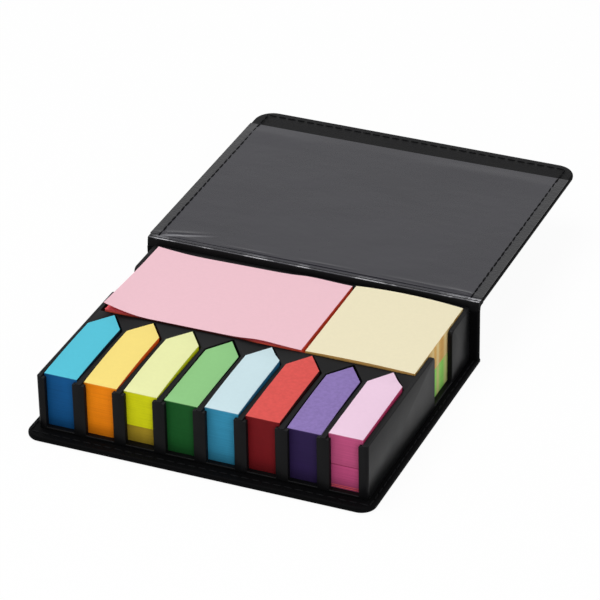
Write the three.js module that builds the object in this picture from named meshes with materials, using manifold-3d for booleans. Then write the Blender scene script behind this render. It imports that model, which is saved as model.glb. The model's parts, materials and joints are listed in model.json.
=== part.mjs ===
import * as THREE from 'three';
import * as BufferGeometryUtils from 'three/addons/utils/BufferGeometryUtils.js';
import Module from 'manifold-3d';

// Hinged leatherette memo box: a stiff cover of base, spine and lid round a plastic tray that
// holds eight stacks of arrow flags in front and two blocks of notes behind. The lid lies open,
// level behind the spine. Millimetres, +Z up, origin at the centre of the base's underside,
// +Y from the open front edge to the spine.

// Layers of the cover
const skin = 0.7;
const boardThickness = 1.1;
const liningThickness = 0.6;
const layerGap = 0.3;
const baseCornerRadius = 6;
const lidCornerRadius = 8;
const frontMargin = 5.9;
const sideMargin = 3.7;

// Arrow flags
const flagWidth = 13.4;
const flagLength = 46.5;
const arrowLength = 9.2;
const pocketClearance = 0.3;
const dividerWidth = 2.3;
const blueFlagHeight = 22.3;
const orangeFlagHeight = 22.0;
const yellowFlagHeight = 22.1;
const yellowLowerHeight = 7.6;
const yellowLowerSetback = 1.0;
const greenFlagHeight = 21.8;
const paleBlueFlagHeight = 22.6;
const redFlagHeight = 22.7;
const purpleFlagHeight = 21.4;
const pinkFlagHeight = 23.05;
const pinkLowerHeight = 10.3;

// Note pads
const padDepth = 50.5;
const padClearance = 0.3;
const padFrontGap = 0.4;
const padLeftGap = 1.6;
const padBetweenGap = 1.6;
const pinkPadWidth = 81.4;
const pinkPadHeight = 23;
const creamPadHeight = 10.2;
const limePadHeight = 12.3;

// Tray
const trayFloor = 1;
const trayWallHeight = 23;
const trayWall = 1.9;
const trayBackWall = 2;
const trayRightBlock = 0.6;
const trayLedge = 1.9;
const trayShift = 0.35;
const trayEdgeRadius = 1;
const notchWidth = 18.2;
const notchOffset = -1;
const notchRadius = 2;
const lipDepth = 2;
const lipWidth = 1.35;
const lipDrop = 0.6;
const lipGap = 0.3;

// Lid and hinge
const lidClearance = 0.3;
const hingeRise = 0.3;
const hingeInset = 1.2;
const hingeReach = 2.2;
const hingeGap = 0.3;
const hingeBeadFoot = 0.8;
const lidLip = 3.1;
const pocketSheet = 0.3;
const pocketMargin = 13;
const pocketHingeGap = 0.5;
const pocketSideGap = 0.3;

// Stitching
const stitchLength = 3;
const stitchPitch = 4.2;
const threadWidth = 0.8;
const threadNeck = 0.36;
const threadHeight = 0.35;
const baseStitchSideInset = 1.7;
const baseStitchFrontInset = 3;
const lidStitchSideInset = 4.4;
const lidStitchEndInset = 3.6;

// What follows from them: heights from the underside of the base
const panelThickness = skin + boardThickness + liningThickness;
const floorLevel = panelThickness + trayFloor;
const wallTop = panelThickness + trayWallHeight;
const blockTops = [
  blueFlagHeight, orangeFlagHeight, yellowFlagHeight, greenFlagHeight, paleBlueFlagHeight,
  redFlagHeight, purpleFlagHeight, pinkFlagHeight, pinkPadHeight, creamPadHeight + limePadHeight,
].map((height) => floorLevel + height);
const contentsTop = Math.max(wallTop, ...blockTops);
const closedInner = contentsTop + lidClearance + pocketSheet;
const hingeLevel = closedInner + hingeRise;
const lidTop = hingeLevel + hingeRise;
const lidUnder = lidTop - panelThickness;

// Across X
const flagCount = 8;
const pocketWidth = flagWidth + 2 * pocketClearance;
const flagPitch = pocketWidth + dividerWidth;
const trayInnerWidth = flagCount * flagPitch - dividerWidth + trayRightBlock;
const trayWidth = trayInnerWidth + 2 * trayWall;
const coverWidth = trayWidth + 2 * sideMargin;
const halfWidth = coverWidth / 2;
const trayLeft = trayShift - trayWidth / 2;
const trayRight = trayLeft + trayWidth;
const innerLeft = trayLeft + trayWall;
const innerRight = trayRight - trayWall;
const pinkLeft = innerLeft + padLeftGap;
const pinkRight = pinkLeft + pinkPadWidth;
const creamLeft = pinkRight + padBetweenGap;
const creamRight = innerRight - padClearance;

// Along Y
const arrowSlope = arrowLength / (flagWidth / 2);
const tipClearance = pocketClearance * Math.hypot(1, arrowSlope);
const trayDepth = lipDepth + lipGap + flagLength + tipClearance + trayLedge + padFrontGap + padDepth
  + padClearance + trayBackWall;
const baseDepth = frontMargin + trayDepth + panelThickness;
const baseFront = -baseDepth / 2;
const baseBack = baseDepth / 2;
const spineInner = baseBack - panelThickness;
const trayFront = baseFront + frontMargin;
const trayBack = trayFront + trayDepth;
const flagFront = trayFront + lipDepth + lipGap;
const flagTip = flagFront + flagLength;
const bayFront = flagTip + tipClearance + trayLedge;
const bayBack = trayBack - trayBackWall;
const padFront = bayFront + padFrontGap;
const padBack = padFront + padDepth;
const notchCentre = (padFront + padBack) / 2 + notchOffset;
const hingeLine = baseBack - hingeInset;
const lidNear = hingeLine + hingeReach;
const lidFar = 2 * hingeLine - (baseFront - lidLip);

const wasm = await Module();
wasm.setup();

// A closed geometry as a solid that can be joined and cut, and back
function solidOf(geometry) {
  const bare = geometry.clone();
  bare.deleteAttribute('normal');
  bare.deleteAttribute('uv');
  const merged = BufferGeometryUtils.mergeVertices(bare, 1e-4);
  return new wasm.Manifold(new wasm.Mesh({
    numProp: 3,
    vertProperties: new Float32Array(merged.attributes.position.array),
    triVerts: new Uint32Array(merged.index.array),
  }));
}

function geometryOf(solid) {
  const mesh = solid.getMesh();
  const geometry = new THREE.BufferGeometry();
  geometry.setAttribute('position', new THREE.BufferAttribute(new Float32Array(mesh.vertProperties), 3));
  geometry.setIndex(new THREE.BufferAttribute(new Uint32Array(mesh.triVerts), 1));
  geometry.computeVertexNormals();
  return geometry;
}

// A plan outline raised from one level to another
function raised(shape, bottom, top) {
  const geometry = new THREE.ExtrudeGeometry(shape, {
    depth: top - bottom,
    bevelEnabled: false,
    curveSegments: 8,
  });
  geometry.translate(0, 0, bottom);
  return geometry;
}

// A Y-Z section run along X
function alongX(shape, left, right) {
  const geometry = new THREE.ExtrudeGeometry(shape, {
    depth: right - left,
    bevelEnabled: false,
    curveSegments: 8,
  });
  geometry.applyMatrix4(new THREE.Matrix4().makeBasis(
    new THREE.Vector3(0, 1, 0),
    new THREE.Vector3(0, 0, 1),
    new THREE.Vector3(1, 0, 0),
  ));
  geometry.translate(left, 0, 0);
  return geometry;
}

function block(left, right, front, back, bottom, top) {
  const geometry = new THREE.BoxGeometry(right - left, back - front, top - bottom);
  geometry.translate((left + right) / 2, (front + back) / 2, (bottom + top) / 2);
  return geometry;
}

// A panel outline with its own corner radius at the front and at the back
function panelShape(left, right, front, back, frontRadius, backRadius) {
  const shape = new THREE.Shape();
  shape.moveTo(left, frontRadius > 0 ? front + frontRadius : front);
  if (frontRadius > 0) shape.absarc(left + frontRadius, front + frontRadius, frontRadius, Math.PI, 1.5 * Math.PI);
  if (frontRadius > 0) shape.absarc(right - frontRadius, front + frontRadius, frontRadius, 1.5 * Math.PI, 2 * Math.PI);
  else shape.lineTo(right, front);
  if (backRadius > 0) shape.absarc(right - backRadius, back - backRadius, backRadius, 0, 0.5 * Math.PI);
  else shape.lineTo(right, back);
  if (backRadius > 0) shape.absarc(left + backRadius, back - backRadius, backRadius, 0.5 * Math.PI, Math.PI);
  else shape.lineTo(left, back);
  shape.closePath();
  return shape;
}

// An arrow-ended outline, grown evenly all round by a margin except at its open front
function arrowShape(centre, front, margin) {
  const half = flagWidth / 2 + margin;
  const apex = flagTip + margin * Math.hypot(1, arrowSlope);
  const shoulder = apex - half * arrowSlope;
  return new THREE.Shape([
    new THREE.Vector2(centre - half, front),
    new THREE.Vector2(centre + half, front),
    new THREE.Vector2(centre + half, shoulder),
    new THREE.Vector2(centre, apex),
    new THREE.Vector2(centre - half, shoulder),
  ]);
}

// A row of running stitches through a list of corners, wide at each stitch, narrow between
function stitchShape(corners) {
  const rows = [];
  for (let index = 1; index < corners.length; index += 1) {
    const start = corners[index - 1];
    const along = corners[index].clone().sub(start);
    const length = along.length();
    along.normalize();
    rows.push({ start, along, length, side: new THREE.Vector2(-along.y, along.x) });
  }
  const stations = [];
  rows.forEach((row, index) => {
    const before = rows[Math.max(index - 1, 0)];
    const turn = before.side.clone().add(row.side);
    turn.divideScalar(1 + before.side.dot(row.side));
    stations.push({ point: row.start, side: turn, half: threadNeck / 2 });
    const count = Math.round(row.length / stitchPitch);
    const step = row.length / count;
    for (let stitch = 0; stitch < count; stitch += 1) {
      const middle = (stitch + 0.5) * step;
      for (const [offset, half] of [[-0.5, threadNeck / 2], [0, threadWidth / 2], [0.5, threadNeck / 2]]) {
        const point = row.start.clone().addScaledVector(row.along, middle + offset * stitchLength);
        stations.push({ point, side: row.side, half });
      }
    }
  });
  stations.push({ point: corners[corners.length - 1], side: rows[rows.length - 1].side, half: threadNeck / 2 });
  const leftSide = stations.map((s) => s.point.clone().addScaledVector(s.side, s.half));
  const rightSide = stations.map((s) => s.point.clone().addScaledVector(s.side, -s.half)).reverse();
  return new THREE.Shape([...rightSide, ...leftSide]);
}

const memoBox = new THREE.Group();
memoBox.name = 'memo_box';
const lid = new THREE.Group();
lid.name = 'lid';

function piece(parent, name, geometry, color, roughness, metalness = 0) {
  const material = new THREE.MeshStandardMaterial({ color, roughness, metalness });
  const mesh = new THREE.Mesh(geometry, material);
  mesh.name = name;
  parent.add(mesh);
  return mesh;
}

// Leatherette of base and spine in one folded sheet, turned up round the edges of the boards.
// Its top edge ends in the round hinge roll that the lid turns about.
const beadRadius = hingeReach - hingeGap;
const spineTop = hingeLevel - hingeBeadFoot;
const rimInset = skin;
const beadShape = new THREE.Shape();
const beadCut = Math.asin(Math.min(1, hingeRise / beadRadius));
beadShape.absarc(hingeLine, hingeLevel, beadRadius, Math.PI - beadCut, 2 * Math.PI + beadCut, false);
beadShape.closePath();
const baseSheet = solidOf(raised(
  panelShape(-halfWidth, halfWidth, baseFront, baseBack, baseCornerRadius, 0), 0, panelThickness))
  .add(solidOf(block(-halfWidth, halfWidth, spineInner, baseBack, 0, spineTop)))
  .add(solidOf(alongX(beadShape, -halfWidth, halfWidth)));
const baseHollow = solidOf(raised(
  panelShape(-halfWidth + rimInset, halfWidth - rimInset, baseFront + rimInset, baseBack - skin,
    baseCornerRadius - rimInset, 0), skin, panelThickness + 1));
const spineHollowTop = spineTop - skin;
const spineHollow = solidOf(block(
  -halfWidth + rimInset, halfWidth - rimInset, spineInner - 1, baseBack - skin, skin, spineHollowTop));
piece(memoBox, 'outer_cover', geometryOf(baseSheet.subtract(baseHollow).subtract(spineHollow)), '#17171a', 0.6);

const layerInset = rimInset + layerGap;
const boardTop = skin + boardThickness;
const liningInner = spineInner + liningThickness;
piece(memoBox, 'base_board', raised(panelShape(
  -halfWidth + layerInset, halfWidth - layerInset, baseFront + layerInset, baseBack - skin - layerGap,
  baseCornerRadius - layerInset, 0), skin, boardTop), '#8c8478', 0.9);
piece(memoBox, 'spine_board', block(
  -halfWidth + layerInset, halfWidth - layerInset, liningInner, baseBack - skin,
  boardTop, spineHollowTop - layerGap), '#8c8478', 0.9);
piece(memoBox, 'base_lining', raised(panelShape(
  -halfWidth + layerInset, halfWidth - layerInset, baseFront + layerInset, liningInner,
  baseCornerRadius - layerInset, 0), boardTop, panelThickness), '#1a1a1d', 0.7);
piece(memoBox, 'spine_lining', block(
  -halfWidth + layerInset, halfWidth - layerInset, spineInner, liningInner,
  panelThickness, spineHollowTop - layerGap), '#1a1a1d', 0.7);

const baseRow = halfWidth - baseStitchSideInset;
const baseRowFront = baseFront + baseStitchFrontInset;
piece(memoBox, 'base_stitching', raised(stitchShape([
  new THREE.Vector2(-baseRow, spineInner - layerGap),
  new THREE.Vector2(-baseRow, baseRowFront),
  new THREE.Vector2(baseRow, baseRowFront),
  new THREE.Vector2(baseRow, spineInner - layerGap),
]), panelThickness, panelThickness + threadHeight), '#232326', 0.65);

// Tray: a block with arrow pockets, each open at its front between two lips that keep the stack
// in, a bay for the pads behind them, and a finger notch through each side wall
let tray = solidOf(raised(
  panelShape(trayLeft, trayRight, trayFront, trayBack, trayEdgeRadius, trayEdgeRadius), panelThickness, wallTop));
const flagCentres = [];
for (let index = 0; index < flagCount; index += 1) {
  flagCentres.push(innerLeft + pocketWidth / 2 + index * flagPitch);
}
for (const centre of flagCentres) {
  const halfMouth = pocketWidth / 2 - lipWidth;
  tray = tray
    .subtract(solidOf(raised(arrowShape(centre, flagFront - lipGap, pocketClearance), floorLevel, wallTop + 1)))
    .subtract(solidOf(block(
      centre - halfMouth, centre + halfMouth, trayFront - 1, flagFront, floorLevel, wallTop + 1)))
    .subtract(solidOf(block(
      centre - pocketWidth / 2, centre + pocketWidth / 2, trayFront - 1, flagFront, wallTop - lipDrop, wallTop + 1)));
}
tray = tray.subtract(solidOf(block(innerLeft, innerRight, bayFront, bayBack, floorLevel, wallTop + 1)));
const notchFront = notchCentre - notchWidth / 2;
const notchBack = notchCentre + notchWidth / 2;
const notch = new THREE.Shape();
notch.moveTo(notchFront, floorLevel);
notch.lineTo(notchBack, floorLevel);
notch.lineTo(notchBack, wallTop - notchRadius);
notch.absarc(notchBack + notchRadius, wallTop - notchRadius, notchRadius, Math.PI, Math.PI / 2, true);
notch.lineTo(notchBack + notchRadius, wallTop + 1);
notch.lineTo(notchFront - notchRadius, wallTop + 1);
notch.absarc(notchFront - notchRadius, wallTop - notchRadius, notchRadius, Math.PI / 2, 0, true);
notch.closePath();
tray = tray.subtract(solidOf(alongX(notch, trayLeft - 1, innerLeft + 1)));
tray = tray.subtract(solidOf(alongX(notch, innerRight - 1, trayRight + 1)));
piece(memoBox, 'tray', geometryOf(tray), '#131315', 0.32);

// Arrow flags, left to right. The yellow and the pink stack are each two blocks, one on the other.
function flagStack(name, index, front, bottom, top, color) {
  piece(memoBox, name, raised(arrowShape(flagCentres[index], front, 0), bottom, top), color, 0.75);
}
const yellowSplit = floorLevel + yellowLowerHeight;
const pinkSplit = floorLevel + pinkLowerHeight;
flagStack('flags_blue', 0, flagFront, floorLevel, floorLevel + blueFlagHeight, '#4fbfda');
flagStack('flags_orange', 1, flagFront, floorLevel, floorLevel + orangeFlagHeight, '#f6a64a');
flagStack('flags_yellow_lower', 2, flagFront + yellowLowerSetback, floorLevel, yellowSplit, '#8c8a2c');
flagStack('flags_yellow', 2, flagFront, yellowSplit, floorLevel + yellowFlagHeight, '#dfe56f');
flagStack('flags_green', 3, flagFront, floorLevel, floorLevel + greenFlagHeight, '#6fbf78');
flagStack('flags_pale_blue', 4, flagFront, floorLevel, floorLevel + paleBlueFlagHeight, '#b8dfe8');
flagStack('flags_red', 5, flagFront, floorLevel, floorLevel + redFlagHeight, '#dd4a4f');
flagStack('flags_purple', 6, flagFront, floorLevel, floorLevel + purpleFlagHeight, '#8a68b0');
flagStack('flags_pink_lower', 7, flagFront, floorLevel, pinkSplit, '#c23c78');
flagStack('flags_pink', 7, flagFront, pinkSplit, floorLevel + pinkFlagHeight, '#e6a9cf');

// Note pads: a wide block on the left, a narrow one on a second one on the right
const limeTop = floorLevel + limePadHeight;
piece(memoBox, 'pad_pink', block(
  pinkLeft, pinkRight, padFront, padBack, floorLevel, floorLevel + pinkPadHeight), '#e9b6c8', 0.8);
piece(memoBox, 'pad_lime', block(
  creamLeft, creamRight, padFront, padBack, floorLevel, limeTop), '#a4d86a', 0.8);
piece(memoBox, 'pad_cream', block(
  creamLeft, creamRight, padFront, padBack, limeTop, limeTop + creamPadHeight), '#efe3c0', 0.8);

// Lid: the same layers as the base, with a clear pocket over the inner face
const lidSheet = solidOf(raised(
  panelShape(-halfWidth, halfWidth, lidNear, lidFar, 0, lidCornerRadius), lidUnder, lidTop));
const lidHollow = solidOf(raised(
  panelShape(-halfWidth + rimInset, halfWidth - rimInset, lidNear + rimInset, lidFar - rimInset,
    0, lidCornerRadius - rimInset), lidUnder + skin, lidTop + 1));
piece(lid, 'lid_cover', geometryOf(lidSheet.subtract(lidHollow)), '#17171a', 0.6);
const lidLayer = panelShape(
  -halfWidth + layerInset, halfWidth - layerInset, lidNear + layerInset, lidFar - layerInset,
  0, lidCornerRadius - layerInset);
piece(lid, 'lid_board', raised(lidLayer, lidUnder + skin, lidTop - liningThickness), '#8c8478', 0.9);
piece(lid, 'lid_lining', raised(lidLayer, lidTop - liningThickness, lidTop), '#1a1a1d', 0.7);

const pocketFar = lidFar - pocketMargin;
piece(lid, 'lid_pocket', block(
  -halfWidth + pocketSideGap, halfWidth - pocketSideGap, lidNear + pocketHingeGap, pocketFar,
  lidTop, lidTop + pocketSheet), '#55555a', 0.18);

// The lid's thread lies on the pocket sheet along the sides and on the lining at the far edge
const lidRow = halfWidth - lidStitchSideInset;
const lidRowFar = lidFar - lidStitchEndInset;
const lidStitches = stitchShape([
  new THREE.Vector2(-lidRow, lidNear + pocketHingeGap),
  new THREE.Vector2(-lidRow, lidRowFar),
  new THREE.Vector2(lidRow, lidRowFar),
  new THREE.Vector2(lidRow, lidNear + pocketHingeGap),
]);
const threadTop = lidTop + pocketSheet + threadHeight;
const lidThread = solidOf(raised(lidStitches, lidTop, threadTop)).subtract(solidOf(block(
  -halfWidth, halfWidth, lidNear, pocketFar + layerGap, lidTop - 1, lidTop + pocketSheet)));
piece(lid, 'lid_stitching', geometryOf(lidThread), '#232326', 0.65);

memoBox.add(lid);

export default memoBox;
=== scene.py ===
import json
import math
import random
import bmesh
import bpy
from mathutils import Matrix, Vector


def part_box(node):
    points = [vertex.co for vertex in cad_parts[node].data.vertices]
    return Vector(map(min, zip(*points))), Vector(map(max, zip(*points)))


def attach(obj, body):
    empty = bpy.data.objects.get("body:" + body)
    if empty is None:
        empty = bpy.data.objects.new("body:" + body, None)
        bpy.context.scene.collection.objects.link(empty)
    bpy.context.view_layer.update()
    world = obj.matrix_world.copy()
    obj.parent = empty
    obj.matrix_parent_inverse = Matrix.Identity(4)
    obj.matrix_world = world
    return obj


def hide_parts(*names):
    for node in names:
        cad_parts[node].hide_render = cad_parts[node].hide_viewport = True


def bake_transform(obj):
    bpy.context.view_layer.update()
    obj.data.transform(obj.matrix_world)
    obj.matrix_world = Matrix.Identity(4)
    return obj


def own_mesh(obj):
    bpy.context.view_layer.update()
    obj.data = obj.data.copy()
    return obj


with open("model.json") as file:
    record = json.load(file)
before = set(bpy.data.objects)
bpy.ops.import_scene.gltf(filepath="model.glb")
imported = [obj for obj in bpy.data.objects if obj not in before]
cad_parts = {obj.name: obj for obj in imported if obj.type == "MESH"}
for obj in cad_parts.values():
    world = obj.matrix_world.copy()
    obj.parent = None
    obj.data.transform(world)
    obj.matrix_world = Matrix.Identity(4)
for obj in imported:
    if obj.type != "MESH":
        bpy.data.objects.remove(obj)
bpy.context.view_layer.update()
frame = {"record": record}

mm = 0.001
random.seed(7)


# Corners of a CAD node in millimetres
class Box:
    def __init__(self, node):
        low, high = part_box(node)
        self.left, self.front, self.bottom = low / mm
        self.right, self.back, self.top = high / mm


# One socket of a shader, so that node maths reads as arithmetic
class Wire:
    def __init__(self, finish, socket):
        self.finish = finish
        self.socket = socket

    def maths(self, operation, first, second=0.0):
        return self.finish.node("ShaderNodeMath", {"operation": operation}, {0: first, 1: second})

    def __add__(self, other):
        return self.maths("ADD", self, other)

    def __radd__(self, other):
        return self.maths("ADD", other, self)

    def __sub__(self, other):
        return self.maths("SUBTRACT", self, other)

    def __rsub__(self, other):
        return self.maths("SUBTRACT", other, self)

    def __mul__(self, other):
        return self.maths("MULTIPLY", self, other)

    def __rmul__(self, other):
        return self.maths("MULTIPLY", other, self)

    def ease(self, low, high):
        return self.finish.node(
            "ShaderNodeMapRange", {"interpolation_type": "SMOOTHSTEP"},
            {0: self, 1: low, 2: high, 3: 0.0, 4: 1.0})

    def size(self):
        return self.maths("ABSOLUTE", self)


# A material with one method that adds nodes
class Finish:
    def __init__(self, name):
        self.material = bpy.data.materials.new(name)
        self.material.use_nodes = True
        self.nodes = self.material.node_tree.nodes
        self.links = self.material.node_tree.links
        self.surface = next(n for n in self.nodes if n.type == "BSDF_PRINCIPLED")

    def node(self, kind, settings=None, sockets=None, out=0):
        made = self.nodes.new(kind)
        for key, value in (settings or {}).items():
            setattr(made, key, value)
        for key, value in (sockets or {}).items():
            self.feed(made.inputs[key], value)
        return Wire(self, made.outputs[out])

    def feed(self, socket, value):
        if isinstance(value, Wire):
            self.links.new(value.socket, socket)
        else:
            socket.default_value = value

    def set(self, **values):
        for key, value in values.items():
            self.feed(self.surface.inputs[key.replace("_", " ")], value)
        return self.material

    def spot(self, scale=(1, 1, 1)):
        place = self.node("ShaderNodeTexCoord", out="Object")
        return self.node("ShaderNodeMapping", {}, {"Vector": place, "Scale": scale})

    def noise(self, scale, detail, stretch=(1, 1, 1), spot=None):
        return self.node("ShaderNodeTexNoise", {}, {
            "Vector": spot or self.spot(stretch), "Scale": scale, "Detail": detail, "Roughness": 0.55})

    def cells(self, scale):
        return self.node(
            "ShaderNodeTexVoronoi", {}, {"Vector": self.spot(), "Scale": scale}, out="Distance")

    def mix(self, factor, first, second):
        return self.node("ShaderNodeMix", {"data_type": "RGBA"}, {0: factor, 6: first, 7: second}, out=2)

    def bump(self, height, strength, distance):
        return self.node(
            "ShaderNodeBump", {}, {"Height": height, "Strength": strength, "Distance": distance})

    def part(self, vector, name):
        return self.node("ShaderNodeSeparateXYZ", {}, {0: vector}, out=name)

    def axis(self, name):
        return self.part(self.node("ShaderNodeTexCoord", out="Object"), name)

    def facing(self, name):
        return self.part(self.node("ShaderNodeNewGeometry", out="Normal"), name)

    def attribute(self, name):
        return self.node("ShaderNodeAttribute", {"attribute_name": name}, {}, out="Fac")


# A shader colour from the red, green and blue of a screen colour, 0 to 255
def rgb(red, green, blue):
    def straight(value):
        value /= 255
        return value / 12.92 if value <= 0.04045 else ((value + 0.055) / 1.055) ** 2.4
    return (straight(red), straight(green), straight(blue), 1.0)


def shade(colour, share):
    return tuple(min(1, c * share) for c in colour[:3]) + (1,)


# Makes the object from a bmesh in metres and hands it to its body
def settle(bm, name, material, body, instead=(), smooth=40):
    mesh = bpy.data.meshes.new(name)
    bm.to_mesh(mesh)
    bm.free()
    piece = bpy.data.objects.new(name, mesh)
    bpy.context.scene.collection.objects.link(piece)
    mesh.materials.append(material)
    if smooth:
        for face in mesh.polygons:
            face.use_smooth = True
        mesh.set_sharp_from_angle(angle=math.radians(smooth))
    if body:
        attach(piece, body)
    if instead:
        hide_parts(*instead)
    return piece


# Places closer than this, in metres, count as the same
same = 1e-6


def recalc(bm):
    bmesh.ops.remove_doubles(bm, verts=bm.verts, dist=same)
    bmesh.ops.recalc_face_normals(bm, faces=bm.faces)


# Draws every face out along a way in metres
def drawOut(bm, way):
    grown = bmesh.ops.extrude_face_region(bm, geom=bm.faces[:])
    moved = [g for g in grown["geom"] if isinstance(g, bmesh.types.BMVert)]
    bmesh.ops.translate(bm, verts=moved, vec=way)
    return moved


def roundOff(bm, geom, width, affect="EDGES", segments=4):
    bmesh.ops.bevel(
        bm, geom=geom, offset=width * mm, affect=affect, segments=segments, profile=0.5, material=-1)


def bell(value, middle, width):
    return math.exp(-((value - middle) / width) ** 2)


# The photograph's camera: its place and lens in millimetres, its angles in degrees
camera = {
    "place": (464.175, -1026.897, 716.248),
    "azimuth": 23.425,
    "elevation": 30.825,
    "roll": -1.021,
    "lens": 211.39,
    "sensor": 36,
    "sightMetres": 20,
}


def makeCamera(values):
    turn, rise, roll = (math.radians(values[key]) for key in ("azimuth", "elevation", "roll"))
    back = Vector((math.sin(turn) * math.cos(rise), -math.cos(turn) * math.cos(rise), math.sin(rise)))
    level = Vector((math.cos(turn), math.sin(turn), 0))
    upright = back.cross(level)
    right = math.cos(roll) * level + math.sin(roll) * upright
    up = math.cos(roll) * upright - math.sin(roll) * level
    data = bpy.data.cameras.new("camera")
    data.lens = values["lens"]
    data.sensor_width = values["sensor"]
    data.clip_end = values["sightMetres"]
    eye = bpy.data.objects.new("camera", data)
    bpy.context.scene.collection.objects.link(eye)
    eye.matrix_world = Matrix.Translation(Vector(values["place"]) * mm) @ Matrix(
        (right, up, back)).transposed().to_4x4()
    bpy.context.scene.camera = eye


makeCamera(camera)
print("camera placed")


# White floor and surroundings, a key light from above and a fill from the front right, in metres
studio = {
    "floorSize": 3.0,
    "floorDrop": 0.0002,
    "floorColour": (0.93, 0.93, 0.93, 1),
    "floorGlow": 0.95,
    "aim": (0, 0.03, 0.01),
    "keyPlace": (-0.3, -0.02, 1.2),
    "keySize": 0.8,
    "keyPower": 9.3,
    "fillPlace": (0.72, -0.88, 0.6),
    "fillSize": 0.8,
    "fillPower": 5.0,
    "worldStrength": 0.35,
}


def lamp(name, place, size, power, aim):
    data = bpy.data.lights.new(name, "AREA")
    data.size = size
    data.energy = power
    light = bpy.data.objects.new(name, data)
    bpy.context.scene.collection.objects.link(light)
    light.location = place
    light.rotation_euler = (Vector(place) - Vector(aim)).to_track_quat("Z", "Y").to_euler()


# The world is white to the camera and to mirrored rays, and lights the box at its own strength
def makeWorld(values):
    world = bpy.data.worlds.new("studio")
    bpy.context.scene.world = world
    world.use_nodes = True
    nodes, links = world.node_tree.nodes, world.node_tree.links
    sky = next(n for n in nodes if n.type == "BACKGROUND")
    seen = nodes.new("ShaderNodeLightPath")
    shown = nodes.new("ShaderNodeMath")
    mirrored = nodes.new("ShaderNodeMath")
    level = nodes.new("ShaderNodeMapRange")
    for adder, first, second in (
            (shown, seen.outputs["Is Camera Ray"], seen.outputs["Is Glossy Ray"]),
            (mirrored, shown.outputs[0], seen.outputs["Is Transmission Ray"])):
        links.new(first, adder.inputs[0])
        links.new(second, adder.inputs[1])
    links.new(mirrored.outputs[0], level.inputs[0])
    level.inputs[3].default_value = values["worldStrength"]
    level.inputs[4].default_value = 1.0
    links.new(level.outputs[0], sky.inputs["Strength"])
    sky.inputs["Color"].default_value = (1, 1, 1, 1)


def makeFloor(values):
    finish = Finish("floorWhite")
    material = finish.set(Base_Color=values["floorColour"], Roughness=0.9, Specular_IOR_Level=0.1)
    glow = finish.node("ShaderNodeEmission", {}, {"Color": (1, 1, 1, 1), "Strength": 1.0})
    seenFloor = finish.node("ShaderNodeLightPath", out="Is Camera Ray")
    seenFloor = seenFloor + finish.node("ShaderNodeLightPath", out="Is Glossy Ray")
    seenFloor = seenFloor + finish.node("ShaderNodeLightPath", out="Is Transmission Ray")
    blend = finish.node("ShaderNodeMixShader", {}, {
        0: seenFloor * values["floorGlow"], 1: Wire(finish, finish.surface.outputs[0]), 2: glow})
    output = next(n for n in finish.nodes if n.type == "OUTPUT_MATERIAL")
    finish.links.new(blend.socket, output.inputs[0])
    bm = bmesh.new()
    bmesh.ops.create_grid(bm, x_segments=1, y_segments=1, size=values["floorSize"])
    bmesh.ops.translate(bm, verts=bm.verts, vec=(0, 0, -values["floorDrop"]))
    mesh = bpy.data.meshes.new("floor")
    bm.to_mesh(mesh)
    bm.free()
    mesh.materials.append(material)
    floor = bpy.data.objects.new("floor", mesh)
    bpy.context.scene.collection.objects.link(floor)


bpy.context.scene.view_settings.view_transform = "Standard"
makeWorld(studio)
for role in ("key", "fill"):
    place, size, power = (studio[role + word] for word in ("Place", "Size", "Power"))
    lamp(role + "Light", place, size, power, studio["aim"])
makeFloor(studio)
print("studio lit")


# Leatherette: fine pebbled grain with darker pits, paler in cloudy patches
leather = {
    "colour": rgb(5, 5, 6),
    "worn": rgb(11, 11, 12),
    "insideColour": rgb(14, 14, 15),
    "insideWorn": rgb(22, 22, 24),
    "grain": 1250.0,
    "creaseGrain": 562.5,
    "cloud": 38.0,
    "wear": 0.45,
    "pits": 0.4,
    "pitShade": 0.45,
    "roughness": 0.48,
    "relief": (0.5, 0.00012),
    "gloss": 0.03,
    "insideGloss": 0.08,
}


def makeLeather(name, colour, worn, gloss, values):
    finish = Finish(name)
    pebbles = finish.cells(values["grain"])
    creases = finish.noise(values["creaseGrain"], 4.0)
    cloud = finish.noise(values["cloud"], 3.0)
    height = pebbles * 0.7 + creases * 0.6
    tone = finish.mix(cloud.ease(0.35, 0.75) * values["wear"], colour, worn)
    pit = shade(colour, values["pitShade"])
    return finish.set(
        Base_Color=finish.mix(pebbles.ease(0.15, 0.75) * values["pits"], tone, pit),
        Roughness=cloud * 0.16 + creases * 0.1 + values["roughness"],
        Normal=finish.bump(height, *values["relief"]),
        Specular_IOR_Level=gloss)


leatherette = makeLeather("leatherette", leather["colour"], leather["worn"], leather["gloss"], leather)
insideLeather = makeLeather("insideLeather", leather["insideColour"], leather["insideWorn"],
                            leather["insideGloss"], leather)

greyBoardFinish = Finish("greyBoard")
boardFleck = greyBoardFinish.noise(900.0, 5.0)
greyBoard = greyBoardFinish.set(
    Base_Color=greyBoardFinish.mix(boardFleck.ease(0.3, 0.7), rgb(122, 114, 102), rgb(150, 142, 130)),
    Roughness=0.9,
    Normal=greyBoardFinish.bump(boardFleck, 0.3, 0.0001))

threadFinish = Finish("blackThread")
threadTwist = threadFinish.noise(2600.0, 2.0)
blackThread = threadFinish.set(
    Base_Color=threadFinish.mix(threadTwist.ease(0.35, 0.7), rgb(6, 6, 7), rgb(18, 18, 20)),
    Roughness=0.7,
    Specular_IOR_Level=0.06,
    Normal=threadFinish.bump(threadTwist, 0.5, 0.0001))
print("cover materials made")

# The hinge axis, in millimetres
hingeY, hingeZ = (v / mm for v in frame["record"]["behaviour"]["joints"][0]["pos_m"][1:])

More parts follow.
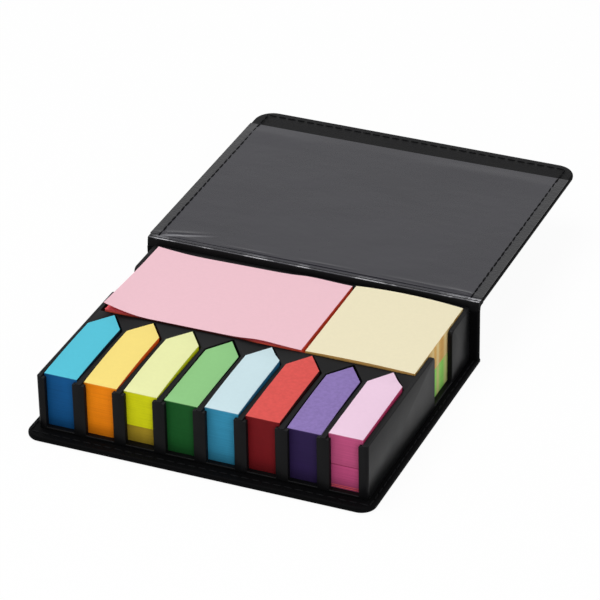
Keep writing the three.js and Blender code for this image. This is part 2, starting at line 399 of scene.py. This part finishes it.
# Clear vinyl over black, wrinkled near the hinge, where thin broken highlight lines are painted into its
# colour and coat
film = {
    "low": rgb(29, 28, 36),
    "high": rgb(35, 34, 42),
    "sewn": rgb(17, 17, 19),
    # Colour of the painted highlight lines
    "paintedHighlight": rgb(150, 150, 156),
    "seam": Box("lid_stitching").right,
    "seamEdges": (-0.6, 0.4),
    # Painted highlight lines and a streak: place and width in mm from the hinge axis, and where they rise
    # and fall across
    "edgeLine": (0.05, 0.34),
    "upperLine": (1.35, 0.34),
    "streakStart": (-66.0, 1.9),
    "streakSlope": 0.33,
    "streakWidth": 1.0,
    "streakRise": (-3, 4),
    "streakFall": (8, 24),
    "cornerLine": (1.2, 1.3),
    "cornerRise": (50, 62),
    "weave": leather["grain"],
}


def makeFilm(values):
    finish = Finish("pocketFilm")
    smear = finish.noise(16.0, 4.0)
    fine = finish.noise(520.0, 3.0)
    ripple = finish.noise(70.0, 2.0, (0.6, 1, 1))
    broken = finish.noise(95.0, 3.0, (1.6, 0.6, 1))
    across, along = finish.axis("X"), finish.axis("Y") - hingeY * mm

    def line(place, width, value=along):
        return 1 - (value - place * mm).size().ease(width * 0.25 * mm, width * mm)

    sewn = across.size().ease(*((values["seam"] + x) * mm for x in values["seamEdges"]))
    tone = finish.mix(smear.ease(0.3, 0.75), values["low"], values["high"])
    startX, startY = values["streakStart"]
    slanted = along - (across - startX * mm) * values["streakSlope"]
    rise, fall = ([(startX + x) * mm for x in values[key]] for key in ("streakRise", "streakFall"))
    streak = line(startY, values["streakWidth"], slanted) * across.ease(*rise) * (1 - across.ease(*fall))
    edgeLine = line(*values["edgeLine"]) * broken.ease(0.44, 0.6)
    upperLine = line(*values["upperLine"]) * broken.ease(0.5, 0.64)
    cornerRise = across.ease(*(x * mm for x in values["cornerRise"]))
    corner = line(*values["cornerLine"]) * cornerRise * fine.ease(0.3, 0.6)
    # Painted highlight: these masks lighten the colour and raise the coat in thin broken lines near the
    # hinge
    paintedHighlight = edgeLine * 1.1 + upperLine * 0.8 + streak * 0.8 + corner * 1.2
    seen = finish.mix(sewn * 0.8, tone, values["sewn"])
    return finish.set(
        Base_Color=finish.mix(paintedHighlight * 0.5, seen, values["paintedHighlight"]),
        Roughness=smear * 0.1 + fine * 0.05 + 0.2,
        Normal=finish.bump(
            ripple * 0.5 + fine * 0.06 + sewn * finish.cells(values["weave"]) * 0.2, 0.3, 0.0012),
        Specular_IOR_Level=0.32,
        Coat_Weight=paintedHighlight,
        Coat_Roughness=0.08)


filmMaterial = makeFilm(film)
print("film material made")


# How far the fold reaches down the spine and on to the lid, from the hinge axis
foldDown = 3.7
foldOn = 4.2

# The cover: base panel, spine and lid with turned edges
baseNode = Box("outer_cover")
liningNode = Box("spine_lining")
lidNode = Box("lid_cover")
cover = {
    "half": baseNode.right,
    "front": baseNode.front,
    "back": -baseNode.front,
    "thickness": Box("base_lining").top,
    "baseCorner": 6.0,
    "lidCorner": 8.0,
    "turnedEdge": 0.95,
    "underEdge": 1.0,
    "spineInner": liningNode.front,
    "spineInset": 0.3,
    "spineTop": hingeZ - foldDown,
    "lidNear": hingeY + foldOn,
    "lidFar": lidNode.back,
    "lidUnder": lidNode.bottom,
    "lidTop": Box("lid_lining").top,
}


# A board with two round corners, at y cornerAt, and turned edges on all sides but y keepSquare
def panel(left, right, front, back, bottom, top, cornerAt, corner, edge, keepSquare):
    bm = bmesh.new()
    places = [(left, front), (right, front), (right, back), (left, back)]
    rim = [bm.verts.new((x * mm, y * mm, bottom * mm)) for x, y in places]
    bm.faces.new(rim)
    roundOff(bm, [v for v in rim if abs(v.co.y - cornerAt * mm) < same], corner, "VERTICES", 10)
    drawOut(bm, (0, 0, (top - bottom) * mm))
    recalc(bm)
    turned = [e for e in bm.edges
              if abs(e.verts[0].co.z - e.verts[1].co.z) < same
              and not all(abs(v.co.y - keepSquare * mm) < same for v in e.verts)]
    roundOff(bm, turned, edge)
    recalc(bm)
    return bm


def makeBase(values):
    half, back = values["half"], values["back"]
    bm = panel(-half, half, values["front"], back, 0, values["thickness"], values["front"],
               values["baseCorner"], values["turnedEdge"], back)
    roundOff(bm, [e for e in bm.edges if all(
        abs(v.co.y - back * mm) < same and v.co.z < same for v in e.verts)], values["underEdge"])
    settle(bm, "basePanel", leatherette, "root", ["outer_cover", "base_lining"])


def makeSpine(values):
    half, thick, inset = values["half"], values["thickness"], values["spineInset"]
    bm = bmesh.new()
    bmesh.ops.create_cube(bm, size=1)
    depth = values["back"] - values["spineInner"]
    bmesh.ops.scale(bm, verts=bm.verts, vec=Vector(
        (2 * half - inset, depth, values["spineTop"] - thick)) * mm)
    bmesh.ops.translate(bm, verts=bm.verts, vec=Vector(
        (inset / 2, values["back"] - depth / 2, (values["spineTop"] + thick) / 2)) * mm)
    upright = [e for e in bm.edges if abs(e.verts[0].co.z - e.verts[1].co.z) > same]
    roundOff(bm, upright, values["turnedEdge"])
    recalc(bm)
    settle(bm, "spinePanel", leatherette, "root", ["spine_lining"])


def makeLid(values):
    half = values["half"]
    bm = panel(-half, half, values["lidNear"], values["lidFar"], values["lidUnder"], values["lidTop"],
               values["lidFar"], values["lidCorner"], values["turnedEdge"], values["lidNear"])
    lid = settle(bm, "lidPanel", leatherette, "lid", ["lid_cover", "lid_lining"])
    lid.data.materials.append(insideLeather)
    for face in lid.data.polygons:
        face.material_index = 1 if face.normal.z > 0.9 else 0


makeBase(cover)
makeSpine(cover)
makeLid(cover)

# Folded leatherette between spine and lid: one bent strip, its section given from the hinge axis
fold = {
    "outside": [
        (1.2, -foldDown), (1.2, -3.2), (1.26, -2.7), (1.5, -2.34), (1.9, -2.15), (2.4, -2.1),
        (3.0, -2.1), (3.6, -2.1), (foldOn, -2.1)],
    "inside": [
        (foldOn, 0.3), (3.3, 0.34), (2.8, 0.46), (2.2, 0.48), (1.5, 0.46), (1.0, 0.42), (0.8, 0.22),
        (0.6, 0.38), (0.3, 0.46), (0.02, 0.42), (-0.2, 0.2), (-0.36, -0.15), (-0.5, -0.7),
        (-0.6, -1.3), (-0.66, -2.0), (-0.7, -2.7), (-0.7, -foldDown)],
    "level": 0.3,
    "filmEdge": -0.25,
    # Faces in this span take the dark lining instead of the film: a painted shade line in the groove
    "grooveShade": (0.6, 1.0),
    "blendStart": (-0.15, -0.09),
    "blendEnd": (2.13, 1.28),
    "leftInset": 0.6,
    "rightInset": 0.2,
}


def makeFold(values, half):
    bm = bmesh.new()
    ring = values["outside"] + values["inside"]
    left, right = values["leftInset"] - half, half - values["rightInset"]
    bm.faces.new([bm.verts.new(Vector((left, hingeY + y, hingeZ + z)) * mm) for y, z in ring])
    drawOut(bm, ((right - left) * mm, 0, 0))
    recalc(bm)
    piece = settle(bm, "hingeFold", insideLeather, None, (), 75)
    for extra in (filmMaterial, leatherette):
        piece.data.materials.append(extra)
    for face in piece.data.polygons:
        place = face.center.y / mm - hingeY
        # Painted shade: the groove's faces take the dark lining so a dark line shows between the
        # highlights
        inGrooveShade = values["grooveShade"][0] < place < values["grooveShade"][1]
        overFold = face.normal.z > values["level"] and place > values["filmEdge"] and not inGrooveShade
        isBack = place > values["outside"][0][0] - 0.1 and face.normal.z < values["level"]
        outside = isBack or face.normal.z < -values["level"]
        face.material_index = 1 if overFold else 2 if outside else 0
    start, end = (
        (0, (hingeY + y) * mm, (hingeZ + z) * mm) for y, z in (values["blendStart"], values["blendEnd"]))
    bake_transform(piece)


makeFold(fold, cover["half"])
print("cover made")

# The boards keep their CAD shape
for node in ("base_board", "spine_board", "lid_board"):
    bpy.data.objects[node].data.materials.clear()
    bpy.data.objects[node].data.materials.append(greyBoard)


# Running stitches, one bead of thread each, sunk a little into the leatherette
stitching = {
    "pitch": 4.2,
    "length": 3.4,
    "sideLength": 4.0,
    "width": 0.72,
    "height": 0.6,
    "sunk": 0.08,
    "inset": 0.4,
    "lidStart": 1.6,
    "overFilm": 0.05,
    "lean": 0.07,
}


def stitchRow(bm, start, end, level, length, values):
    start, end = Vector(start), Vector(end)
    along = end - start
    count = round(along.length / values["pitch"])
    angle = math.atan2(along.y, along.x)
    for index in range(count):
        middle = start + along * ((index + 0.5) / count)
        lean = random.uniform(-values["lean"], values["lean"])
        place = Matrix.Translation(Vector((middle.x, middle.y, level)) * mm)
        size = Matrix.Diagonal(Vector((length, values["width"], values["height"], 1 / mm)) * mm)
        bmesh.ops.create_uvsphere(bm, u_segments=8, v_segments=6, radius=0.5,
                                  matrix=place @ Matrix.Rotation(angle + lean, 4, "Z") @ size
                                  @ Matrix.Rotation(math.pi / 2, 4, "Y"))


def makeStitching(values):
    row = Box("base_stitching")
    side, front, back = row.right - values["inset"], row.front + values["inset"], row.back
    level = row.bottom + values["sunk"]
    bm = bmesh.new()
    short, long = values["length"], values["sideLength"]
    stitchRow(bm, (-side, back), (-side, front), level, long, values)
    stitchRow(bm, (-side, front), (side, front), level, short, values)
    stitchRow(bm, (side, front), (side, back), level, long, values)
    settle(bm, "baseStitches", blackThread, "root", ["base_stitching"], 80)
    row = Box("lid_stitching")
    side, far, near = row.right - values["inset"], row.back - values["inset"], hingeY + values["lidStart"]
    level = row.bottom + values["sunk"]
    sideLevel = level + Box("lid_pocket").top - row.bottom + values["overFilm"]
    bm = bmesh.new()
    stitchRow(bm, (-side, near), (-side, far), sideLevel, long, values)
    stitchRow(bm, (-side, far), (side, far), level, short, values)
    stitchRow(bm, (side, far), (side, near), sideLevel, long, values)
    settle(bm, "lidStitches", blackThread, "lid", ["lid_stitching"], 80)


makeStitching(stitching)
print("stitches sewn")


# Vinyl pocket over the lid's inner face, wrinkled along the hinge
filmNode = Box("lid_pocket")
pocket = {
    "half": filmNode.right,
    "near": filmNode.front,
    "far": filmNode.back,
    "level": filmNode.bottom + 0.02,
    "thickness": 0.26,
    "seam": Box("lid_stitching").right,
    "farSkew": 1.2,
    "cellX": 160,
    "cellY": 110,
    "crowding": 1.8,
    "sideRim": 3.5,
    "farRim": 6,
    "pleat": 0.16,
    "leftCrease": 0.4,
    "rightCrease": 0.3,
    "swell": 0.14,
    "mouth": 0.25,
}


# The film's rise at a place: creases near the hinge, slow waves, and a lifted far edge
def pocketHeight(x, y, values):
    fromNear = y - values["near"]
    rim = min(1, (values["half"] - abs(x)) / values["sideRim"])
    rim *= min(1, (values["far"] - y) / values["farRim"])
    flat = min(1, max(0, (values["seam"] - abs(x)) / 2))
    pleat = bell(fromNear, 1.6 + 0.5 * math.sin(0.05 * x), 0.7) * (
        0.5 + 0.5 * math.sin(0.15 * x + 1.4 * math.sin(0.043 * x + 0.6)))
    leftCrease = flat * bell(fromNear, 1.4 + 0.3 * (x + 66), 1.1) * bell(x, -60, 9)
    rightCrease = flat * bell(fromNear, 1.4 - 0.1 * (x - 66), 1.0) * bell(x, 63, 8)
    swell = 0.5 + 0.5 * math.sin(0.045 * x + 0.9) * math.cos(0.05 * (y - 60))
    mouth = bell(y, values["far"] - 5, 9) * (0.5 + 0.5 * math.sin(0.06 * x - 0.7))
    return max(0, rim) * (
        values["pleat"] * pleat + values["leftCrease"] * leftCrease + values["rightCrease"] * rightCrease
        + values["swell"] * swell + values["mouth"] * mouth)


def makePocket(values):
    bm = bmesh.new()
    bmesh.ops.create_grid(bm, x_segments=values["cellX"], y_segments=values["cellY"], size=0.5)
    for vert in bm.verts:
        x = 2 * vert.co.x * values["half"]
        far = values["far"] + values["farSkew"] * (vert.co.x + 0.5) ** 2
        y = values["near"] + (far - values["near"]) * (vert.co.y + 0.5) ** values["crowding"]
        vert.co = Vector((x, y, values["level"] + pocketHeight(x, y, values))) * mm
    bmesh.ops.solidify(bm, geom=bm.faces[:], thickness=-values["thickness"] * mm)
    recalc(bm)
    piece = settle(bm, "pocketSheet", filmMaterial, "lid", ["lid_pocket"], 60)
    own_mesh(piece)


makePocket(pocket)
print("pocket made")


# A copy of a CAD node with its flat faces joined
def copied(node):
    source = bpy.data.objects[node]
    bm = bmesh.new()
    bm.from_mesh(source.data)
    bmesh.ops.transform(bm, verts=bm.verts, matrix=source.matrix_world)
    bmesh.ops.remove_doubles(bm, verts=bm.verts, dist=2e-6)
    bmesh.ops.dissolve_limit(bm, angle_limit=math.radians(1), verts=bm.verts, edges=bm.edges)
    return bm


# A piece in place of a CAD node, its edges softened by a bevel
def eased(bm, node, name, material, edge, segments):
    piece = settle(bm, name, material, "root", [node], 0)
    soften = piece.modifiers.new("softEdges", "BEVEL")
    soften.width = edge * mm
    soften.segments = segments
    soften.limit_method = "ANGLE"
    soften.angle_limit = math.radians(30)
    soften.harden_normals = True
    for face in piece.data.polygons:
        face.use_smooth = True
    return piece


trayPlastic = Finish("trayPlastic")
trayCloud = trayPlastic.noise(90.0, 4.0)
trayFine = trayPlastic.noise(1500.0, 2.0)
trayMaterial = trayPlastic.set(
    Base_Color=trayPlastic.mix(trayCloud.ease(0.4, 0.7) * 0.5, rgb(13, 13, 14), rgb(18, 18, 20)),
    Roughness=trayCloud * 0.16 + 0.27,
    Normal=trayPlastic.bump(trayFine + trayCloud * 0.8, 0.12, 0.0002),
    Specular_IOR_Level=0.08)


# The pockets are a little longer and wider round the arrow heads, so a dark line shows there
headLength = 9.2
headRoom = {
    "near": 1,
    "reach": 1.5,
    "tip": 1.05,
    "shoulderAlong": 0.6,
    "shoulderAcross": 0.35,
}


def makeTray(values):
    bm = copied("tray")
    nodes = ("blue", "orange", "yellow", "green", "pale_blue", "red", "purple", "pink")
    for place in (Box("flags_" + node) for node in nodes):
        middle = (place.left + place.right) / 2
        half = place.right - middle
        for vert in bm.verts:
            x, y = vert.co.x / mm - middle, vert.co.y / mm - place.back
            if abs(x) < values["near"] and abs(y) < values["reach"]:
                vert.co.y += values["tip"] * mm
            elif abs(abs(x) - half) < values["near"] and abs(y + headLength) < values["reach"]:
                vert.co.y += values["shoulderAlong"] * mm
                vert.co.x += math.copysign(values["shoulderAcross"], x) * mm
    eased(bm, "tray", "trayShell", trayMaterial, 0.4, 3)


makeTray(headRoom)
print("tray made")


# Paper: pale tops, deeper cut edges with the lines of the sheets, and painted shade on faces turned to
# +X, at the foot and on shaded fronts
def makePaper(name, top, side, values, stripes=None, flankShade=None, odd=()):
    finish = Finish(name)
    upward = finish.facing("Z").ease(0.35, 0.75)
    across, along, layer = finish.axis("X"), finish.axis("Y"), finish.attribute("layer")
    lined = finish.node("ShaderNodeCombineXYZ", {}, {
        0: across * 40.0, 1: along * 40.0, 2: layer * values["lines"]})
    sheets = finish.noise(1.0, 2.0, spot=lined)
    pressed = finish.noise(110.0, 3.0, (1, 1, 0.35))
    fibre = finish.noise(700.0, 4.0)
    uneven = sheets.ease(0.3, 0.7) * 0.6 + pressed.ease(0.35, 0.7) * 0.4
    edge = finish.mix(uneven, shade(side, 0.8), shade(side, 1.13))
    # Painted shade: the cut edges darken towards the bottom over the lowest 6 mm
    edge = finish.mix((1 - layer.ease(0, 6 * mm)) * values.get("footShade", 0), edge, shade(side, 0.3))
    # Painted shade: faces turned to +X take the darker flank colour, redder for the orange flags
    if flankShade:
        edge = finish.mix(finish.facing("X").ease(0.6, 0.95), edge, flankShade)
    if stripes:
        bands = finish.noise(1.0, 1.0, spot=finish.node("ShaderNodeCombineXYZ", {}, {1: along * 190.0}))
        edge = finish.mix(bands.ease(0.36, 0.62) * finish.facing("X").ease(0.5, 0.9), edge, stripes)
    for low, high, colour in odd:
        inside = layer.ease((low - 0.05) * mm, low * mm) * (1 - layer.ease(high * mm, (high + 0.05) * mm))
        edge = finish.mix(inside, edge, colour)
    if "shaded" in values:
        start, end, dark = values["shaded"]
        between = across.ease(start * mm, (start + 9) * mm) * (1 - across.ease((end - 8) * mm, end * mm))
        front = (finish.facing("Y") * -1).ease(0.4, 0.8)
        edge = finish.mix(between * front * 0.92, edge, dark)
    if values.get("lip"):
        underTop = (values["height"] - layer).ease(values["lipTo"], values["lipTo"] * 0.4)
        edge = finish.mix(underTop * values["lip"], edge, top)
    deep = shade(top, 0.8 if "fleck" in values else 0.94)
    face = finish.mix(fibre.ease(0.3, 0.7) * values.get("fleck", 0.3), top, deep)
    height = sheets * (1 - upward) * 0.6 + fibre * 0.12
    return finish.set(
        Base_Color=finish.mix(upward, edge, face),
        Roughness=0.72,
        Normal=finish.bump(height, 0.3, 0.0001),
        Specular_IOR_Level=0.12)


# The flank colours are painted shade on the stacks' faces turned to +X, redder for the orange flags
flags = {
    "flags_blue": {"name": "blueFlags", "top": rgb(86, 194, 216), "side": rgb(12, 83, 140),
                   "flankShade": rgb(8, 26, 44), "bow": 0.7},
    "flags_orange": {"name": "orangeFlags", "top": rgb(247, 223, 127), "side": rgb(255, 138, 9),
                     "flankShade": rgb(226, 84, 20), "bow": 1.15},
    "flags_yellow": {"name": "yellowFlags", "top": rgb(234, 237, 174), "side": rgb(217, 218, 15),
                     "flankShade": rgb(206, 212, 20), "bow": 1.05, "lip": 0.75},
    "flags_green": {"name": "greenFlags", "top": rgb(142, 199, 132), "side": rgb(20, 83, 33),
                    "flankShade": rgb(8, 30, 12), "bow": 0.2},
    "flags_pale_blue": {"name": "paleBlueFlags", "top": rgb(202, 225, 231), "side": rgb(51, 139, 174),
                        "flankShade": rgb(30, 96, 132), "bow": 0.75, "peak": 0.7},
    "flags_red": {"name": "redFlags", "top": rgb(222, 88, 83), "side": rgb(113, 17, 23),
                  "flankShade": rgb(40, 6, 8), "bow": 0.5, "fleck": 0.5},
    "flags_purple": {"name": "purpleFlags", "top": rgb(142, 121, 183), "side": rgb(42, 27, 71),
                     "flankShade": rgb(20, 13, 36), "bow": 0.8, "fleck": 0.7},
    "flags_pink": {"name": "pinkFlags", "top": rgb(237, 205, 226), "side": rgb(187, 79, 123),
                   "flankShade": rgb(190, 60, 104), "bow": 0.15, "peak": 0.55},
}
lowerFlags = {
    # Painted shade: the lower yellow block, set back under the upper one, is a darker yellow with a
    # painted orange reflection
    "flags_yellow_lower": {"name": "oliveFlags", "top": rgb(170, 160, 60), "side": rgb(179, 151, 41)},
    "flags_pink_lower": {"name": "magentaFlags", "top": rgb(210, 90, 130), "side": rgb(195, 78, 127),
                         # The two red bands are red sheets; the dark band at 10.05 to 10.3 mm is painted
                         # shade in the gap under the upper pad
                         "odd": [(0.5, 0.75, rgb(238, 96, 84)), (1.25, 1.45, rgb(232, 88, 84)),
                                 (10.05, 10.3, rgb(120, 34, 66))]},
}
stackShape = {
    "cuts": 9,
    "peakAt": 0.62,
    "tipFall": 0.45,
    "pressed": 0.94,
    "footShade": 0.45,
    "edge": 0.08,
    "lines": 5200.0,
    "lip": 0.35,
    "lipTo": 0.35,
    "cornerShift": (0.3, 0.2),
}


# Notes each point's height above the bottom, which the paper's lines are drawn by
def measureLayers(bm, bottom):
    layer = bm.verts.layers.float.new("layer")
    for vert in bm.verts:
        vert[layer] = vert.co.z - bottom * mm
    return layer


def makeStack(node, values, shape):
    place = Box(node)
    bm = copied(node)
    for index in range(1, shape["cuts"] + 1):
        y = place.front + (place.back - place.front) * index / (shape["cuts"] + 1)
        bmesh.ops.bisect_plane(bm, geom=bm.verts[:] + bm.edges[:] + bm.faces[:], dist=1e-6,
                               plane_co=(0, y * mm, 0), plane_no=(0, 1, 0))
    layer = measureLayers(bm, place.bottom)
    height = place.top - place.bottom
    shoulder = place.back - headLength
    for vert in bm.verts:
        along = (vert.co.y / mm - place.front) / (place.back - place.front)
        span = shape["peakAt"] if along < shape["peakAt"] else 1 - shape["peakAt"]
        fall = 1 if along < shape["peakAt"] else shape["tipFall"]
        rise = values.get("bow", 0) * (1 - fall * ((along - shape["peakAt"]) / span) ** 2)
        share = vert[layer] / (height * mm)
        vert.co.z += rise * share * mm
        atCorner = vert.co.x / mm > place.right - 0.1 and abs(vert.co.y / mm - shoulder) < 1.5
        if share > 0.95 and atCorner and "peak" in values:
            vert.co += Vector((*shape["cornerShift"], values["peak"])) * mm
    look = {
        "height": height * mm,
        "lines": shape["lines"],
        "lip": values.get("lip", shape["lip"] if "bow" in values else 0),
        "lipTo": shape["lipTo"] * mm,
        "footShade": shape["footShade"] if place.bottom < 5 else 0,
    }
    if "fleck" in values:
        look["fleck"] = values["fleck"]
    paper = makePaper(values["name"], values["top"], values["side"], look,
                      flankShade=values.get("flankShade"), odd=values.get("odd", ()))
    slotName = "paper" + node[5:].replace("yellow_lower", "olive").replace("pink_lower", "magenta")
    piece = eased(bm, node, values["name"], paper, shape["edge"], 2)
    if "peak" in values:
        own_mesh(piece)


for node, values in {**flags, **lowerFlags}.items():
    makeStack(node, values, stackShape)
print("flags stacked")


# The note blocks: a cut block, and on it loose sheets that curl or arch
rosePad = {
    "top": rgb(238, 195, 205),
    # Painted shade: the under sheet and the block top are a deep red for the pale pink paper shaded under
    # the top sheet; the top sheet's cut edges use the same red
    "underShadeAndEdge": rgb(242, 104, 112),
    "side": rgb(226, 86, 62),
    "blockDrop": 0.85,
    "sheet": 0.12,
    "overhang": 0.75,
    "farSkew": 1.6,
    "shaded": (-56.0, 3.0, rgb(20, 8, 9)),
}
creamPad = {
    "top": rgb(236, 227, 194),
    "side": rgb(214, 166, 92),
    "stripes": rgb(226, 200, 140),
    "blockDrop": 0.4,
    "frontArch": 0.55,
    "backArch": 1.3,
    "overhang": 0.25,
}
limePad = {
    "top": rgb(150, 210, 110),
    "side": rgb(140, 206, 96),
    "stripes": rgb(190, 196, 122),
}


def makeBlock(node, name, paper, drop, skew=0):
    place = Box(node)
    bm = copied(node)
    for vert in bm.verts:
        if vert.co.z / mm > place.top - 0.01:
            vert.co.z -= drop * mm
        if vert.co.y / mm > place.back - 0.01:
            vert.co.y -= skew * (place.right - vert.co.x / mm) / (place.right - place.left) * mm
    measureLayers(bm, place.bottom)
    eased(bm, node, name, paper, 0.08, 2)


# A sheet over a block, or with thickness 0 a few held together and flat below: height gives the
# top's rise at u from left to right and v from front to back, both from 0 to 1
def makeSheaf(name, node, bottom, height, thickness, overhang, paper, skew=0):
    place = Box(node)
    bm = bmesh.new()
    bmesh.ops.create_grid(bm, x_segments=64, y_segments=30, size=0.5)
    for vert in bm.verts:
        u, v = vert.co.x + 0.5, vert.co.y + 0.5
        x = place.left + (place.right - place.left) * u
        front = place.front - overhang * (1 - 0.5 * u)
        y = front + (place.back - skew * (1 - u) - front) * v
        vert.co = Vector((x, y, bottom + height(u, v))) * mm
    if thickness:
        bmesh.ops.solidify(bm, geom=bm.faces[:], thickness=thickness * mm)
    else:
        for vert in drawOut(bm, (0, 0, 0)):
            vert.co.z = bottom * mm
    recalc(bm)
    measureLayers(bm, bottom)
    piece = settle(bm, name, paper, "root", (), 50)
    anchor = (0, place.front * mm, bottom * mm)
    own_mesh(piece)


def roseCurl(u, v):
    edge = max(0, 1 - u / 0.24) ** 1.7
    corner = max(0, 1 - u / 0.2) ** 1.6 * max(0, 1 - v / 0.75) ** 1.4
    hump = bell(u, 0.79, 0.08 if u < 0.79 else 0.13) * (0.85 - 0.23 * v)
    return 0.2 + 0.25 * (1 - v) + (1.9 - 0.5 * v) * edge + 1.4 * corner + hump


def roseUnderCurl(u, v):
    return 0.1 + 0.35 * max(0, 1 - u / 0.26) ** 1.5 + bell(u, 0.8, 0.12) * (0.1 + 0.2 * v)


def creamArch(u, v):
    arch = creamPad["frontArch"] + (creamPad["backArch"] - creamPad["frontArch"]) * v
    return creamPad["blockDrop"] + arch * (1 - (2 * u - 0.9) ** 2 / 1.21)


def makeRosePad(values, look):
    look = {**look, "shaded": values["shaded"]}
    cut = makePaper("roseBlock", values["underShadeAndEdge"], values["side"], look)
    sheet = makePaper("roseSheet", values["top"], values["underShadeAndEdge"], look)
    makeBlock("pad_pink", "roseBlock", cut, values["blockDrop"], values["farSkew"])
    base = Box("pad_pink").top - values["blockDrop"]
    makeSheaf("roseUnderSheet", "pad_pink", base, roseUnderCurl, values["sheet"], 0,
              cut, values["farSkew"])
    makeSheaf("roseTopSheet", "pad_pink", base + values["sheet"], roseCurl, values["sheet"],
              values["overhang"], sheet, values["farSkew"])


def makeCreamPad(values, look):
    paper = makePaper("creamPaper", values["top"], values["side"], look, values["stripes"])
    makeBlock("pad_cream", "creamBlock", paper, values["blockDrop"])
    base = Box("pad_cream").top - values["blockDrop"]
    makeSheaf("creamTopSheets", "pad_cream", base, creamArch, 0, values["overhang"], paper)


def makeLimePad(values, look):
    paper = makePaper("limePaper", values["top"], values["side"], look, values["stripes"])
    makeBlock("pad_lime", "limeBlock", paper, 0)


padLook = {"lines": 4200.0}
makeRosePad(rosePad, padLook)
makeCreamPad(creamPad, padLook)
makeLimePad(limePad, padLook)
print("pads laid")
